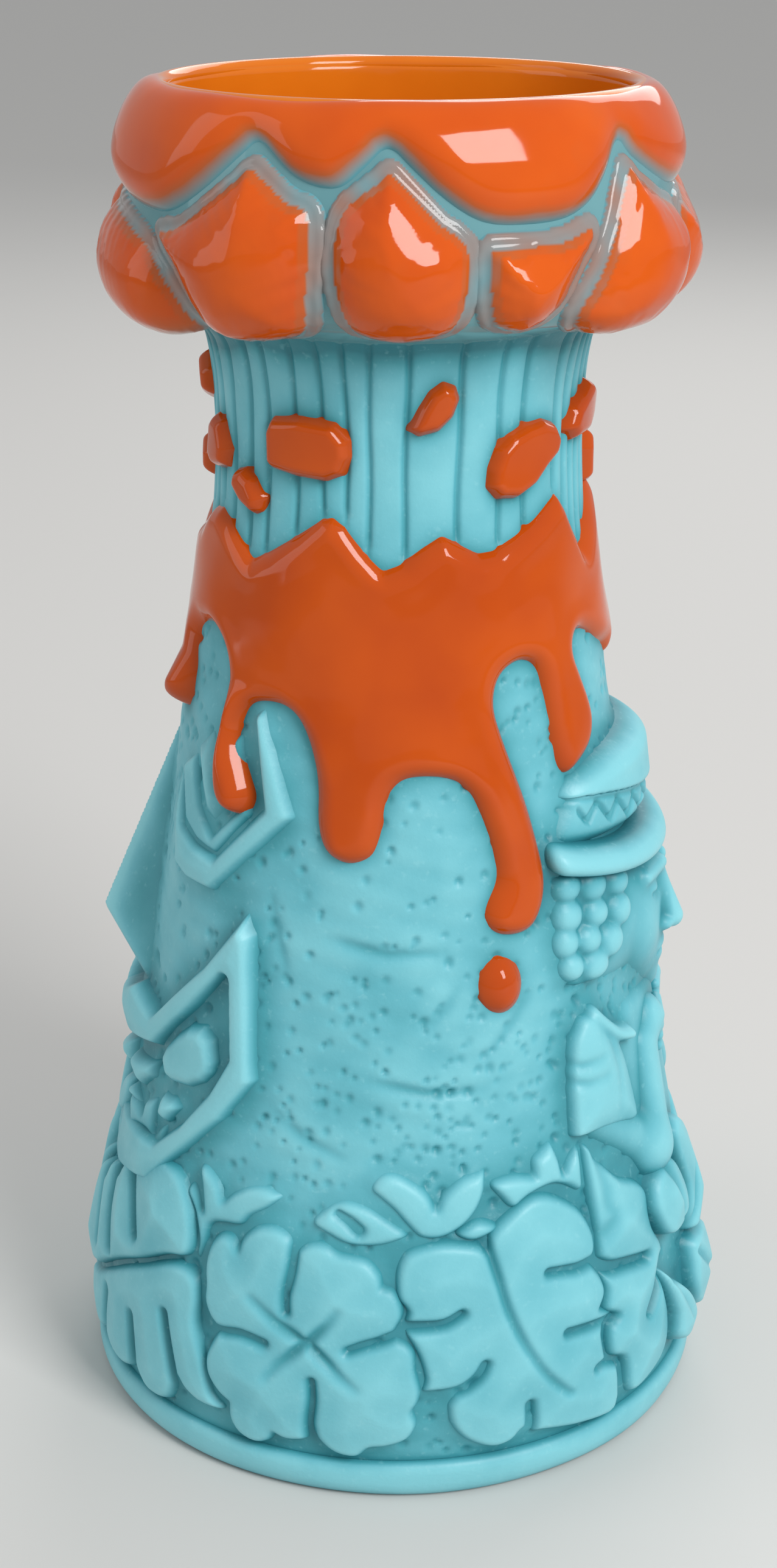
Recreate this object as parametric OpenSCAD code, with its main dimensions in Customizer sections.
// Slip-cast ceramic mug in the form of an erupting volcano.
// The hollow body is a surface of revolution. Everything sculpted on it is a raised piece
// whose back lies on that surface, so each piece meets the body face to face.
// Millimetres, +Z up, origin at the middle of the foot. Azimuth 0 faces -Y, 90 faces +X.

/* [Body] */
// Height from the table to the top of the lip
height = 200; // [200:1:200]
// Radius of the foot where it meets the table
foot_r = 47.3; // [46:0.1:48]
// Radius of the plain ledge round the bottom
ledge_r = 48.4; // [48:0.1:49]
// Height of the plain ledge
ledge_h = 6; // [5:0.5:7]
// Height of the clay floor inside, above the table
floor_z = 10; // [8:0.5:14]
// Thickness of the glaze that lines the inside
glaze_t = 0.4; // [0.3:0.1:0.6]

/* [Cloud] */
// Radius of the mouth
mouth_r = 32; // [31:0.1:33]
// Height where the neck ends and the cloud begins
cloud_z = 170; // [169:0.5:171]
// Height where the rolled lip sits on the cloud
lip_z = 196.5; // [196:0.1:197]
// Width of the seam between the roll and the puffs
seam_w = 1.6; // [1:0.1:2.5]
// How far the top roll stands out from the cloud's core
roll_h = 1.6; // [1:0.1:2.5]

/* [Lava] */
// How far the lava stands out from the wall
lava_h = 1.8; // [1:0.1:2.2]
// How far the flying rocks stand out from the wall
rock_h = 2; // [1:0.1:2.4]

/* [Mask] */
// Azimuth of the middle of the mask
mask_az = -92; // [-94:1:-90]
// How far the eye bands stand out
eye_h = 2.4; // [1.5:0.1:3]
// How far the pupils and teeth stand out
tooth_h = 2; // [1:0.1:3]
// How far the lips stand out
lip_h = 3.4; // [2:0.1:4]

/* [Figure] */
// Azimuth of the middle of the hatted figure
figure_az = 88; // [86:1:90]
// Radius of the head, seen from above
head_r = 14; // [13:0.1:14.5]
// Height of the middle of the head
head_z = 78; // [77.5:0.5:78.5]
// Height of the underside of the hat's brim
brim_z = 88.6; // [88.2:0.1:89]
// How far the bent arms stand out
arm_h = 4; // [3.2:0.1:5]
// Radius of one round curl of hair
curl_r = 1.9; // [1.4:0.1:1.9]

/* [Plants] */
// How far the flowers stand out
flower_h = 3.4; // [2:0.1:3.8]
// How far the big leaves stand out
leaf_h = 3.2; // [2:0.1:3.6]
// How far the small sprigs stand out
sprig_h = 1.6; // [1:0.1:2]
// Width of the slits cut into petals and leaves
slit_w = 1; // [0.6:0.1:1.4]

/* [Hidden] */
$fn = 96;
turquoise = [0.42, 0.76, 0.82];
orange = [0.86, 0.26, 0.05];
amber = [0.92, 0.42, 0.08];
far = 62;
eps = 0.01;
// How far a shell runs on past the outline that cuts it.
margin = 1.1;

// Outside of the bare wall as [radius, height], from the ledge to the cloud.
WALL = [[46.9, ledge_h], [47.1, 7.2], [46.8, 19.8], [45.2, 29.7], [42.8, 40.3], [39, 60.3],
        [36, 80.3], [33.4, 99.7], [32, 110.3], [30.4, 119.7], [28.2, 130.3], [26.9, 140.3],
        [26.4, 150.3], [26.8, 160.3], [27.7, 165.7], [29.2, cloud_z]];
// Outside of the cloud's core, from the neck to the lip.
CORE = [[29.2, cloud_z], [34, 171.2], [37.2, 174.5], [38.6, 180], [38.2, 186], [37.4, 192],
        [36.2, lip_z]];
// Inside of the glaze, from the floor to the lip.
CUP = [[0, floor_z], [38, floor_z], [41.6, 13], [42.4, 20], [41, 30], [38.6, 40], [34.8, 60],
       [31.8, 80], [29.2, 100], [27.8, 110], [26.2, 120], [24, 130], [22.7, 140], [22.2, 150],
       [22.6, 160], [23.5, 166], [25.6, cloud_z], [29.4, 175], [31.4, 181], [mouth_r, 190],
       [mouth_r, lip_z]];

function swap(line) = [for (p = line) [p[1], p[0]]];
function back(line) = [for (i = [len(line) - 1:-1:0]) line[i]];
function pushed(line, d) = [for (p = line) [p[0] + d, p[1]]];
function wall_r(z) = lookup(z, swap(WALL));
function core_r(z) = lookup(z, swap(CORE));
// The stretch of a profile between two heights.
function stretch(line, z0, z1) = concat(
    [[lookup(z0, swap(line)), z0]],
    [for (p = line) if (p[1] > z0 + eps && p[1] < z1 - eps) p],
    [[lookup(z1, swap(line)), z1]]);
function lows(pts) = min([for (p = pts) p[1]]);
function highs(pts) = max([for (p = pts) p[1]]);
// An outline of [azimuth, height] points laid flat in the plane that touches the wall at az.
function flat_wall(pts, az) = [for (p = pts) [wall_r(p[1]) * sin(p[0] - az), p[1]]];
function flat_core(pts, az) = [for (p = pts) [core_r(p[1]) * sin(p[0] - az), p[1]]];
function turned(pts, d) = [for (p = pts) [p[0] + d, p[1]]];
function mirrored(pts) = back([for (p = pts) [-p[0], p[1]]]);
function raised(pts, dz) = [for (p = pts) [p[0], p[1] + dz]];

// A band of even thickness on a profile.
module shell_on(line, h, z0, z1) {
    rotate_extrude()
        polygon(concat(stretch(line, z0, z1), pushed(back(stretch(line, z0, z1)), h)));
}
// A flat outline pushed outwards from the axis at an azimuth.
module punch(az, flat) {
    rotate([0, 0, az])
        rotate([90, 0, 0])
            linear_extrude(height = far)
                polygon(flat);
}
// A raised piece on the wall: pts is its outline, h how far it stands out.
module relief(az, pts, h) {
    intersection() {
        shell_on(WALL, h, lows(pts) - margin, highs(pts) + margin);
        punch(az, flat_wall(pts, az));
    }
}
// A slit along a line on the wall, with its deep end square.
module slit(az, a, b, w = slit_w) {
    p = flat_wall([a, b], az);
    d = p[1] - p[0];
    n = [-d[1], d[0]] * w / 2 / norm(d);
    rotate([0, 0, az])
        rotate([90, 0, 0])
            linear_extrude(height = far)
                polygon([p[0] + n, p[0] - n, p[1] - n, p[1] + n]);
}
// A solid that fills everything inside the outside of the wall.
module wall_core() {
    rotate_extrude()
        polygon(concat([[0, ledge_h]], WALL, [[0, cloud_z]]));
}
// Puts a child at a distance from the axis, on an azimuth and a height.
module out_at(az, r, z) {
    rotate([0, 0, az])
        translate([0, -r, z])
            children();
}

// ---- body ----
module base_plinth() {
    color(turquoise)
        rotate_extrude()
            polygon([[0, 0], [foot_r - 0.6, 0], [foot_r, 0.5], [ledge_r, 1.4], [ledge_r, ledge_h - 1],
                     [ledge_r - 0.5, ledge_h], [0, ledge_h]]);
}
module body_wall() {
    color(turquoise)
        rotate_extrude()
            polygon(concat([[0, ledge_h]], WALL, pushed(back(stretch(CUP, 13, cloud_z)), glaze_t),
                           [[38 + glaze_t, floor_z - glaze_t], [0, floor_z - glaze_t]]));
}
module inner_glaze() {
    side = stretch(CUP, 13, lip_z);
    color(amber)
        rotate_extrude()
            polygon(concat([[0, floor_z - glaze_t], [38 + glaze_t, floor_z - glaze_t]],
                           pushed(side, glaze_t), back(side), [[38, floor_z], [0, floor_z]]));
}
module mouth_rim() {
    color(orange)
        rotate_extrude()
            polygon([[mouth_r, lip_z], [mouth_r, height - 0.9], [mouth_r + 0.5, height - 0.2],
                     [mouth_r + 1.4, height], [mouth_r + 3, height - 0.2],
                     [mouth_r + 4.6, height - 1.3], [core_r(lip_z) + roll_h, lip_z]]);
}

// ---- cloud ----
// Height of the scalloped seam under the top roll, round the whole cloud.
ROLL_EDGE = [[-100, 188], [-80, 186.5], [-63, 184.5], [-48, 185.5], [-36, 190.5], [-28, 194],
             [-20, 190.2], [-12, 189.5], [-1, 194], [8, 189], [17, 185.3], [34, 185], [46, 189],
             [52, 193.5], [60, 190], [74, 187], [92, 186], [104, 189], [112, 193], [122, 188],
             [138, 185], [152, 188], [162, 193.5], [172, 188.5], [190, 185.5], [204, 189],
             [214, 193], [226, 188], [242, 185], [260, 188]];
// Each puff under the roll: [start azimuth, end azimuth, height of its middle, radius].
PUFFS = [[-88, -47, 177, 9.2], [-45, -14, 179.5, 9.6], [-12, 16, 182, 10.4], [18, 42, 179.5, 7],
         [44, 72, 181.5, 10.4], [74, 100, 178, 8.4], [102, 132, 180.5, 9.6], [134, 160, 178, 8.2],
         [162, 188, 181, 10], [190, 220, 178.5, 8.8], [222, 248, 180.5, 9.4], [250, 270, 178, 8]];
sectors = 8;
sector_w = 360 / sectors;
// How far neighbouring sectors overlap, in degrees.
lap = 3;
// One sector of a band whose edge wanders with azimuth.
function window(edge, a0, a1) = concat(
    [[a0, lookup(a0, edge)]],
    [for (p = edge) if (p[0] > a0 + eps && p[0] < a1 - eps) p],
    [[a1, lookup(a1, edge)]]);

module cloud_core() {
    side = stretch(CUP, cloud_z, lip_z);
    color(turquoise)
        rotate_extrude()
            polygon(concat(CORE, pushed(back(side), glaze_t)));
}
module cloud_roll() {
    color(orange)
        intersection() {
            shell_on(CORE, roll_h, 184, lip_z);
            above_edge(ROLL_EDGE, height);
        }
}
// Everything above an edge that wanders round the core, up to a height.
module above_edge(edge, top) {
    for (i = [0:sectors - 1]) {
        a0 = -100 + i * sector_w;
        a1 = a0 + sector_w + lap;
        az = (a0 + a1) / 2;
        punch(az, flat_core(concat(window(edge, a0, a1), [[a1, top], [a0, top]]), az));
    }
}
// A fat ring segment that hangs on the core between two azimuths.
module puff(a0, a1, z, r) {
    mid = (a0 + a1) / 2;
    difference() {
        rotate([0, 0, a0 - 90])
            rotate_extrude(angle = a1 - a0)
                translate([core_r(z) - r * 0.55, z])
                    intersection() {
                        circle(r = r);
                        translate([r * 0.3, -r])
                            square([r, 2 * r]);
                    }
        rotate_extrude()
            polygon(concat([[0, cloud_z]], CORE, [[0, lip_z]]));
    }
}
module cloud_puffs() {
    color(orange)
        difference() {
            for (p = PUFFS)
                puff(p[0], p[1], p[2], p[3]);
            above_edge(raised(ROLL_EDGE, -seam_w), height);
        }
}

// ---- lava ----
// Upper edge of the lava, once round the neck and on to the first peak again.
LAVA_TOP = [[-65, 141.5], [-55, 139.3], [-46, 136.2], [-30, 140.5], [-18, 143.7], [-8, 139],
            [-3, 137], [14, 141.5], [25, 138.8], [40, 141], [56, 144.7], [70, 135.5], [84, 140],
            [95, 144], [104, 137], [118, 141.5], [128, 137.5], [142, 143.5], [155, 136.5],
            [170, 141], [181, 137.5], [194, 143], [208, 136.5], [222, 141.5], [236, 137],
            [252, 142.5], [266, 137], [280, 138], [288, 141], [295, 141.5]];
// Azimuths of the peaks in that edge.
PEAKS = [-65, -18, 14, 56, 95, 118, 142, 170, 194, 222, 252, 295];
// Height of the unbroken band's lower side. The aprons and drips hang from it.
band_z = 124.6;
// Aprons and drips, each as the outline of one stretch.
APRONS = [
    [[-84, 126], [-83, 115], [-80, 111.5], [-75, 110.5], [-71, 113], [-70, 118], [-72, 126]],
    [[-53, 126], [-50, 120], [-49, 115], [-49.5, 108], [-48, 104], [-44, 101], [-40, 100],
     [-36.5, 101.5], [-36, 104], [-42, 110], [-42, 113], [-37.5, 116.5], [-33, 117], [-31, 126]],
    [[-35.5, 126], [-34, 116.5], [-25, 115.5], [-21, 112], [-18.5, 107], [-18, 101], [-16, 97.5],
     [-12, 96], [-8, 96], [-4, 97.5], [-2, 101], [-1, 105], [2, 108], [6, 126]],
    [[-1, 126], [0, 107], [5, 108.2], [11, 108.2], [16, 107.5], [20, 105], [23, 101], [25.5, 97],
     [25.5, 92], [22, 88], [23, 86], [26, 84.5], [31, 84.2], [35, 85], [38, 88], [39, 92],
     [35, 103], [29, 113], [27, 117], [31, 122], [34, 126]],
    [[37, 126], [42, 122], [43.5, 120], [44.5, 114], [45.5, 108], [47, 105.7], [52, 105.5],
     [57, 107], [61, 110], [62, 113], [59, 119], [57.5, 123], [60, 126]],
    [[66, 126], [70, 123], [78, 120.5], [86, 117.5], [92, 118.5], [98, 122], [103, 126]],
    [[116, 126], [122, 119], [127, 113], [127, 103], [130, 98.5], [135, 97.5], [139, 100],
     [140.5, 106], [142, 111], [145, 112], [146.5, 101], [146, 94], [149, 90.8], [153, 90.5],
     [156.5, 94], [154.5, 104], [156, 118], [161, 126]],
    [[172, 126], [180, 116], [185, 109], [187, 103], [188, 98], [192, 94.5], [198, 95], [201, 99],
     [202, 108.5], [207, 107.5], [213, 108.5], [213.5, 101], [216, 97], [220, 97.5], [222.5, 102],
     [223, 115], [229, 122], [232, 126]],
    [[247, 126], [252, 121], [253.5, 112], [256, 108.5], [260, 108.5], [262.5, 113], [263, 121],
     [268, 126]]];
// Middle of one outline's azimuths.
function mid_az(pts) = (min([for (p = pts) p[0]]) + max([for (p = pts) p[0]])) / 2;
// The point reached by running on from a through b for d degrees of azimuth.
function beyond(a, b, d) = b + (b - a) * d / abs(b[0] - a[0]);
// What is cut away above the edge between two peaks. The cuts cross at each peak.
function bite(a0, a1) = let (run = [for (p = LAVA_TOP) if (p[0] >= a0 && p[0] <= a1) p],
                             n = len(run),
                             start = beyond(run[1], run[0], 4),
                             end = beyond(run[n - 2], run[n - 1], 4))
    concat([[start[0], 152], start], run, [end, [end[0], 152]]);

// The area the aprons cover, as a solid that passes right through the wall.
module lava_area() {
    for (a = APRONS)
        punch(mid_az(a), flat_wall(a, mid_az(a)));
}
module lava_collar() {
    color(orange) {
        difference() {
            shell_on(WALL, lava_h, band_z, 146);
            for (i = [0:len(PEAKS) - 2]) {
                cut = bite(PEAKS[i], PEAKS[i + 1]);
                punch(mid_az(cut), flat_wall(cut, mid_az(cut)));
            }
        }
        intersection() {
            shell_on(WALL, lava_h, 83, 125.8);
            lava_area();
        }
    }
}
// One loose drop below the longest drip.
drop_az = 25.5;
drop_z = 77.2;
module lava_drop() {
    drop = [for (t = [0:20:340]) [drop_az + 5.5 * cos(t), drop_z + 4.2 * sin(t)]];
    color(orange)
        relief(drop_az, drop, lava_h);
}
// Rocks thrown out of the crater, as outlines on the neck.
ROCKS = [
    [[-41, 151], [-40, 156], [-36, 157.5], [-17, 157.5], [-12.5, 154], [-14, 150], [-20, 149],
     [-38, 149.8]],
    [[-57, 146], [-55, 148], [-48, 148.5], [-42, 145.5], [-45, 142.3], [-52, 143]],
    [[-75, 148], [-73, 154], [-63, 154.5], [-59, 150], [-62, 147], [-72, 146.5]],
    [[4, 157], [9, 161], [14, 162.8], [18.5, 160.5], [17, 158], [13, 156], [5, 155.8]],
    [[27.5, 148], [29, 152.5], [40, 155.7], [50, 156], [57, 152], [50, 149], [42, 146.5], [30, 146]],
    [[61, 154], [68, 157], [83, 157.5], [86, 153], [72, 151.5], [63, 152]],
    [[91, 142.2], [89, 147.5], [93, 149.4], [100, 147.8], [101.5, 143.2], [96, 141.3]],
    [[112, 150], [114, 156], [124, 158], [136, 156.5], [138, 151], [126, 149]],
    [[150, 145], [149, 149.5], [157, 151], [163, 148], [160, 144.5]],
    [[174, 153], [176, 159], [184, 161.5], [192, 158], [190, 153.5], [181, 151.5]],
    [[203, 147], [204, 153], [214, 155.5], [226, 154], [228, 148], [216, 145.5]],
    [[240, 156], [243, 161], [253, 161.5], [256, 157], [249, 154.5]],
    [[262, 146], [263, 151], [272, 151.5], [275, 147.5], [269, 144.5]]];
module flying_rocks() {
    color(orange)
        for (r = ROCKS)
            relief(mid_az(r), r, rock_h);
}

// ---- mask ----
// Outlines of one half of the mask, with azimuth counted from its middle.
EYE_BAND = [[25.5, 102.4], [26.6, 99], [28.6, 95.5], [31.4, 90.4], [39, 88.2], [46, 87.6],
            [66, 101.4], [58, 117], [54.4, 116], [59, 101.8], [45.2, 92.8], [37.6, 93.6], [34.6, 97.2],
            [31.6, 104]];
EYELID = [[32.6, 105], [35, 98], [38, 94.8], [45, 93.8], [56.8, 101.4], [51.6, 112.6], [48.6, 110.8],
          [52, 101.2], [45, 97], [40, 97.4], [38, 100], [35.4, 106]];
PUPIL = [[37, 108.6], [36.6, 105], [39.4, 99.8], [44, 98.6], [49.4, 101], [46.6, 106], [41, 109.4]];
LIPS = [[-1, 61.4], [8, 63.4], [16, 66.4], [30, 66], [46, 77.4], [57.4, 85.8], [59, 84], [62, 63],
        [55.4, 54.4], [45.6, 45.8], [39, 40.8], [21, 37.4], [-1, 36.8], [-1, 46.4], [20, 46.8],
        [35, 47.8], [42, 50.8], [48.8, 56], [54, 62.4], [53.4, 75], [46, 68.4], [34, 61], [18.5, 57.2],
        [-1, 55]];
TEETH = [[[35, 58.4], [37, 62], [44, 65.6], [50, 66.6], [51.6, 62], [47.4, 57.6], [40, 56.4]],
         [[31, 51], [34, 54.6], [40.6, 53.4], [37, 50.4]],
         [[16, 55.6], [29.6, 57.6], [30, 54.8], [25, 51.4], [17, 52.4]],
         [[3, 53.4], [13, 54.6], [13, 50.8], [3, 49.4]]];
half_az = 32;

// One outline on both sides of the mask.
module mask_pair(pts, h) {
    relief(mask_az + half_az, turned(pts, mask_az), h);
    relief(mask_az - half_az, turned(mirrored(pts), mask_az), h);
}
// The area that one outline covers on both sides of the mask.
module mask_area(pts) {
    punch(mask_az + half_az, flat_wall(turned(pts, mask_az), mask_az + half_az));
    punch(mask_az - half_az, flat_wall(turned(mirrored(pts), mask_az), mask_az - half_az));
}
// The nose seen from the front, a little larger all round.
NOSE_FRONT = [[-13, 64], [0, 60], [13, 64], [8, 107], [-8, 107]];
module mask_nose() {
    // corners: top of the ridge, tip, underside, two wings, and two buried at the back
    corners = [[0, -32.7, 107], [0, -45, 73.6], [0, -40, 61], [12.5, -35.2, 64.6],
               [-12.5, -35.2, 64.6], [0, -29, 104], [0, -32, 62.4]];
    sides = [[0, 3, 1], [0, 1, 4], [1, 3, 2], [1, 2, 4], [0, 5, 3], [0, 4, 5], [3, 5, 6], [5, 4, 6],
             [3, 6, 2], [2, 6, 4]];
    color(turquoise)
        difference() {
            rotate([0, 0, mask_az])
                polyhedron(corners, sides);
            wall_core();
            lava_area();
        }
}
module mask_eye_bands() {
    color(turquoise)
        difference() {
            mask_pair(EYE_BAND, eye_h);
            lava_area();
        }
}
module mask_eyelids() {
    color(turquoise)
        difference() {
            mask_pair(EYELID, eye_h);
            lava_area();
        }
}
module mask_pupils() {
    color(turquoise)
        difference() {
            mask_pair(PUPIL, tooth_h);
            lava_area();
        }
}
module mask_lips() {
    color(turquoise)
        difference() {
            mask_pair(LIPS, lip_h);
            punch(mask_az, NOSE_FRONT);
        }
}
module mask_teeth() {
    color(turquoise)
        difference() {
            for (t = TEETH)
                mask_pair(t, tooth_h);
            mask_area(LIPS);
        }
}

// ---- figure ----
// Outlines of one half of the figure, with azimuth counted from its middle.
HAT = [[-43, brim_z + 5], [-42.5, 101.4], [-40.5, 104.4], [-28, 106.4], [0, 107.4], [28, 106.4],
       [40.5, 104.4], [42.5, 101.4], [43, brim_z + 5]];
SHIRT = [[-47, 50.5], [-49, 57], [-47.5, 65], [-44, 70.4], [-35, 68], [-20, 69], [20, 69], [35, 68],
         [44, 70.4], [47.5, 65], [49, 57], [47, 50.5], [30, 49], [0, 41], [-30, 49]];
brim_half = 47;
band_z0 = brim_z + 6.8;
band_z1 = 98.9;
curl_gap = 3.95;
// Outline of the bent arm on one side: elbow, shoulder, inside of the elbow and fist.
ARM = [[13, 37], [26, 38.5], [36, 43], [46.5, 50], [44, 52.5], [31, 51.6], [26, 53], [23, 61], [7, 61],
       [5, 45], [8, 39]];
// The head seen from outside, used to clear what lies behind it.
HEAD_AREA = [for (t = [0:20:340]) [23.5 * cos(t), head_z + 16.5 * sin(t)]];

// Crown of the hat, kept clear of the lava on both sides.
CROWN = [[-41.6, 97], [-42.2, 101], [-40.2, 103.8], [-28, 105.2], [-10, 106.8], [8, 107], [26, 106.2],
         [35, 105], [37.6, 102.4], [39.4, 97]];

module hat_crown() {
    color(turquoise)
        difference() {
            relief(figure_az, turned(CROWN, figure_az), 4);
            shell_on(WALL, 6, brim_z, band_z1);
        }
}
// Band round the hat with a row of cut triangles.
module hat_band() {
    notch = [[-3, band_z1 - 0.4], [3, band_z1 - 0.4], [0, band_z0 + 0.6]];
    color(turquoise)
        difference() {
            intersection() {
                shell_on(WALL, 3.2, band_z0, band_z1);
                punch(figure_az, flat_wall(turned(HAT, figure_az), figure_az));
            }
            for (a = [-35:10:35])
                intersection() {
                    punch(figure_az + a, flat_wall(turned(notch, figure_az + a), figure_az + a));
                    rotate_extrude()
                        polygon(concat(pushed(stretch(WALL, 94, 101), 2.5),
                                       pushed(back(stretch(WALL, 94, 101)), 6)));
                }
            lava_area();
        }
}
module hat_brim() {
    color(turquoise)
        difference() {
            rotate([0, 0, figure_az - brim_half - 90])
                rotate_extrude(angle = 2 * brim_half)
                    polygon([[30, brim_z], [38, brim_z], [40.4, brim_z + 1], [41.2, brim_z + 2.8],
                             [40.6, brim_z + 4.6], [38.8, brim_z + 6.2], [37, band_z0], [30, band_z0]]);
            wall_core();
        }
}
module figure_head() {
    face_d = 27.4;
    under_brim = brim_z - head_z;
    color(turquoise)
        difference() {
            union() {
                out_at(figure_az, face_d, head_z)
                    rotate_extrude()
                        polygon(concat([for (t = [-90:15:30]) [head_r * cos(t), 16 * sin(t)]],
                                       [[head_r * 0.75, under_brim], [0, under_brim]]));
                // nose, set on the middle of the face
                out_at(figure_az, face_d + head_r, head_z)
                    rotate([90, 0, -90])
                        linear_extrude(height = 4.4, center = true)
                            polygon([[-2, 6], [-0.6, 5], [2, -1.6], [1.6, -3], [-2, -3.4]]);
            }
            wall_core();
        }
}
module hair_curls() {
    color(turquoise)
        for (side = [-1, 1])
            for (row = [0:3])
                for (col = [0:row < 3 ? 2 : 1]) {
                    az = figure_az + side * (44.4 - col * 8.8);
                    z = brim_z - 0.2 - curl_r - row * curl_gap;
                    turn = curl_r / wall_r(z) * 180 / PI;
                    relief(az, [for (t = [0:30:330]) [az + turn * cos(t), z + curl_r * sin(t)]], 2.5);
                }
}
module figure_shirt() {
    color(turquoise)
        difference() {
            relief(figure_az, turned(SHIRT, figure_az), 3);
            punch(figure_az, flat_wall(turned(HEAD_AREA, figure_az), figure_az));
            for (arm = [ARM, mirrored(ARM)])
                punch(figure_az, flat_wall(turned(arm, figure_az), figure_az));
        }
}
module figure_arms() {
    color(turquoise)
        for (arm = [ARM, mirrored(ARM)])
            relief(figure_az, turned(arm, figure_az), arm_h);
}

// ---- plants ----
// Each outline is given as it lies at the front; copies are turned round the body from there.
FLOWER = [[-36, 30.4], [-35.4, 36], [-32.6, 38.2], [-29.4, 37.2], [-28.2, 39], [-24, 41.2],
          [-18.2, 40], [-15, 40.6], [-9.4, 39.4], [-3.8, 38.5], [-0.8, 34.8], [2.8, 32], [1.4, 27.4],
          [5, 24.8], [6, 19], [4.8, 15.4], [5, 12], [-3, 8.8], [-5.2, 7.5], [-10, 8], [-13.4, 10.6],
          [-17, 8.8], [-21, 8.4], [-25, 7], [-29, 10], [-29.4, 13], [-33.8, 16], [-34.2, 20],
          [-32, 23.4], [-35.4, 27]];
FLOWER_SLITS = [[[-17.5, 42], [-18.6, 29]], [[4, 28], [-6.6, 24.6]], [[-13.4, 7], [-13.2, 20]],
                [[-37, 24.6], [-22, 24]]];
// Crossed creases in the middle of each flower.
FLOWER_CREASES = [[[-24, 29.9], [-6, 19]], [[-21, 18.6], [-9, 30.6]]];
MONSTERA = [[2, 33], [2.4, 38.4], [6.4, 40.5], [12, 40.6], [17.6, 39.4], [23.4, 42.6], [32, 45.2],
            [38, 43], [42.2, 38], [41, 33.4], [42.6, 29], [40.6, 25.2], [44.6, 23], [42, 18], [44.8, 14.6],
            [44.8, 7.6], [31, 7.8], [25.6, 9.6], [18, 8.4], [11.4, 12.4], [10.8, 17.4], [6.6, 19.4],
            [5.4, 28]];
MONSTERA_SLITS = [[[2, 28.6], [13.6, 30.2]], [[6, 18], [17, 22.4]], [[25.6, 8], [26, 14.6]],
                  [[44, 32.8], [31, 33.6]], [[46, 23], [33.6, 24]], [[46, 15], [40, 16.6]]];
PALM = [[-76.4, 16.6], [-66, 21.4], [-53, 27.2], [-46, 30], [-41.4, 31.2], [-38.4, 30.4], [-36, 25],
        [-35, 18], [-31, 12], [-34, 10.6], [-41.4, 13], [-44, 8], [-50, 7.5], [-54.2, 10], [-58, 7.6],
        [-64, 7.5], [-68.2, 10.4], [-71.6, 7.8], [-75.4, 8.6]];
PALM_SLITS = [[[-41.6, 9], [-45, 23.4]], [[-54.2, 8], [-53.6, 20.6]], [[-68.4, 8], [-67, 18]]];
UPRIGHT = [[-75.6, 20.6], [-66, 24.6], [-53, 30.2], [-42, 34], [-41, 38], [-44.8, 43],
           [-52, 45], [-59, 42.6], [-61.6, 39.4], [-65, 43.8], [-69.6, 42.4], [-71.6, 38.6], [-74.6, 41],
           [-76, 33]];
UPRIGHT_SLITS = [[[-61.6, 41], [-57, 32]], [[-71.4, 40], [-67, 30]]];
LOBED = [[44.6, 45.4], [47.4, 46.4], [52, 43], [57.4, 40.8], [59, 38], [58.6, 33], [60.2, 28.4], [59.2, 25.2],
         [61, 21], [61.4, 13], [58.4, 9.2], [50.4, 8.1], [48.2, 12.6], [47.4, 17], [47, 24.4], [46.4, 28.2],
         [44.7, 33]];
LOBED_SLITS = [[[43, 31.4], [55, 28.8]], [[61.4, 25.8], [55.2, 21]]];
// Three leaves that turn away towards the back.
TURNED = [[[64.5, 41.4], [61.6, 38.2], [62.2, 31.8], [67, 28.6], [73.4, 30.6], [73.8, 35], [69, 41]],
          [[77.8, 24.8], [76.6, 31], [76.2, 39], [82, 41.4], [86.4, 36], [87.6, 30.6], [86.4, 25.2]],
          [[76.8, 23.3], [75.4, 17], [78.4, 10.6], [84, 8.6], [87.2, 12], [87.2, 20.6], [84, 23.5]],
          [[63.2, 24.2], [66.4, 21.2], [72.2, 15.4], [73, 11.6], [67, 10.1], [64.8, 13.2]]];
// Narrow leaves that fill the gap under the mask.
NARROW = [[[268.6, 9.4], [266.2, 14], [265.6, 24], [267.2, 32], [268.6, 35.6], [270.2, 32.4], [270.7, 22.4],
           [270.2, 13]],
          [[272.4, 9], [271.8, 16], [272.4, 27], [275.4, 34], [279.4, 34.6], [281.6, 27], [281.8, 16],
           [280.4, 8.8]]];
SPRIGS = [[[-44.4, 42.4], [-42.4, 43.6], [-40.6, 42.4], [-41, 46.6], [-36, 45.2], [-34.4, 43.2],
           [-28.4, 46.2], [-21, 45.7], [-29, 42.4], [-36.4, 39.2], [-39.8, 37]],
          [[-14.6, 43], [-8, 46.6], [3, 43.2], [-3.4, 49], [1.5, 51], [9.4, 46], [19.4, 50.2],
           [15.6, 43.4], [21.6, 42.4], [18.6, 41], [4, 41.6], [-11, 41.4]],
          [[21, 48.4], [30, 48.2], [34.6, 52], [36.8, 47.6], [41.6, 50.6], [41.4, 44.2], [34.4, 46.4],
           [25, 44.6]]];

// How far each kind is turned from the front.
FLOWER_TURNS = [0, 165, 266];
MONSTERA_TURNS = [0, 165];
PALM_TURNS = [0, 165];
SPRIG_TURNS = [0, 165, 266];

// Copies of one outline round the body, with slits cut into it.
module plants(turns, pts, slits, h) {
    for (t = turns)
        difference() {
            relief(mid_az(pts) + t, turned(pts, t), h);
            for (s = slits)
                slit(mid_az(pts) + t, turned(s, t)[0], turned(s, t)[1]);
        }
}
// The area that copies of one outline cover.
module planted(turns, pts) {
    for (t = turns)
        punch(mid_az(pts) + t, flat_wall(turned(pts, t), mid_az(pts) + t));
}
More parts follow.
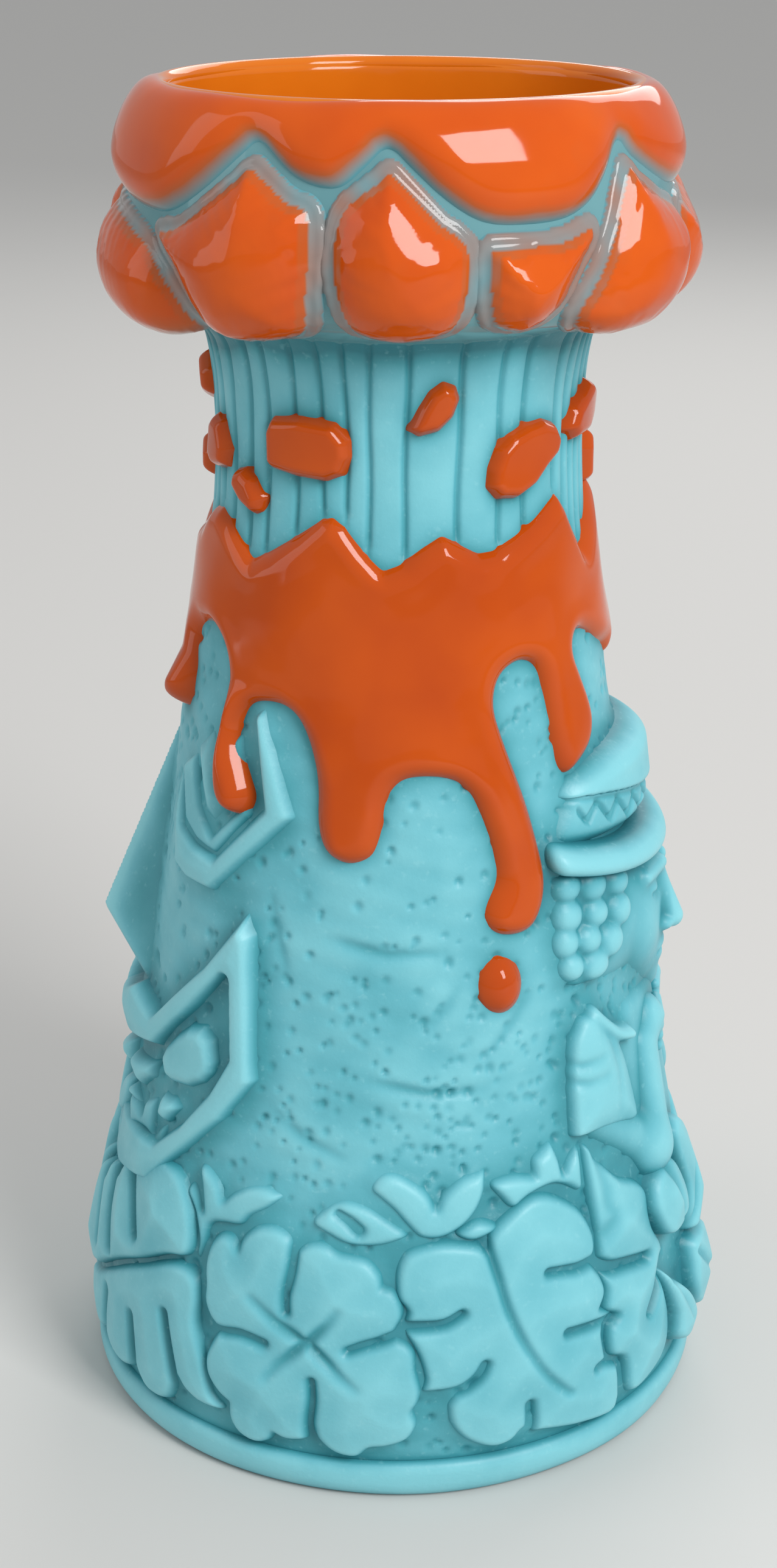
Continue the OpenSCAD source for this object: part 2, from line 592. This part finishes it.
// The area that the mask's lips, the shirt and the arms cover.
module behind_people() {
    mask_area(LIPS);
    punch(figure_az, flat_wall(turned(SHIRT, figure_az), figure_az));
    for (arm = [ARM, mirrored(ARM)])
        punch(figure_az, flat_wall(turned(arm, figure_az), figure_az));
}
module hibiscus_flowers() {
    color(turquoise)
        difference() {
            plants(FLOWER_TURNS, FLOWER, FLOWER_SLITS, flower_h);
            intersection() {
                for (t = FLOWER_TURNS)
                    for (s = FLOWER_CREASES)
                        slit(mid_az(FLOWER) + t, turned(s, t)[0], turned(s, t)[1]);
                rotate_extrude()
                    polygon(concat(pushed(stretch(WALL, 8, 42), flower_h - 1.3),
                                   pushed(back(stretch(WALL, 8, 42)), flower_h + 2)));
            }
        }
}
module monstera_leaves() {
    color(turquoise)
        difference() {
            plants(MONSTERA_TURNS, MONSTERA, MONSTERA_SLITS, leaf_h);
            planted(FLOWER_TURNS, FLOWER);
        }
}
module palm_leaves() {
    color(turquoise)
        difference() {
            plants(PALM_TURNS, PALM, PALM_SLITS, leaf_h);
            planted(FLOWER_TURNS, FLOWER);
            for (leaf = TURNED)
                planted([0], leaf);
        }
}
module fern_leaves() {
    color(turquoise)
        difference() {
            union() {
                plants(PALM_TURNS, UPRIGHT, UPRIGHT_SLITS, leaf_h - 0.6);
                plants(MONSTERA_TURNS, LOBED, LOBED_SLITS, leaf_h - 0.6);
                for (leaf = TURNED)
                    plants([0], leaf, [], leaf_h - 0.6);
                for (leaf = NARROW)
                    plants([0], leaf, [], leaf_h - 0.6);
            }
            planted(FLOWER_TURNS, FLOWER);
            planted(MONSTERA_TURNS, MONSTERA);
            planted(PALM_TURNS, PALM);
            behind_people();
        }
}
module leaf_sprigs() {
    color(turquoise)
        difference() {
            for (leaf = SPRIGS)
                plants(SPRIG_TURNS, leaf, [], sprig_h);
            planted(FLOWER_TURNS, FLOWER);
            planted(MONSTERA_TURNS, MONSTERA);
            planted(PALM_TURNS, PALM);
            planted(PALM_TURNS, UPRIGHT);
            planted(MONSTERA_TURNS, LOBED);
            behind_people();
        }
}

base_plinth();
body_wall();
inner_glaze();
mouth_rim();
cloud_core();
cloud_roll();
cloud_puffs();
lava_collar();
lava_drop();
flying_rocks();
mask_nose();
mask_eye_bands();
mask_eyelids();
mask_pupils();
mask_lips();
mask_teeth();
hat_crown();
hat_band();
hat_brim();
figure_head();
hair_curls();
figure_shirt();
figure_arms();
hibiscus_flowers();
monstera_leaves();
palm_leaves();
fern_leaves();
leaf_sprigs();
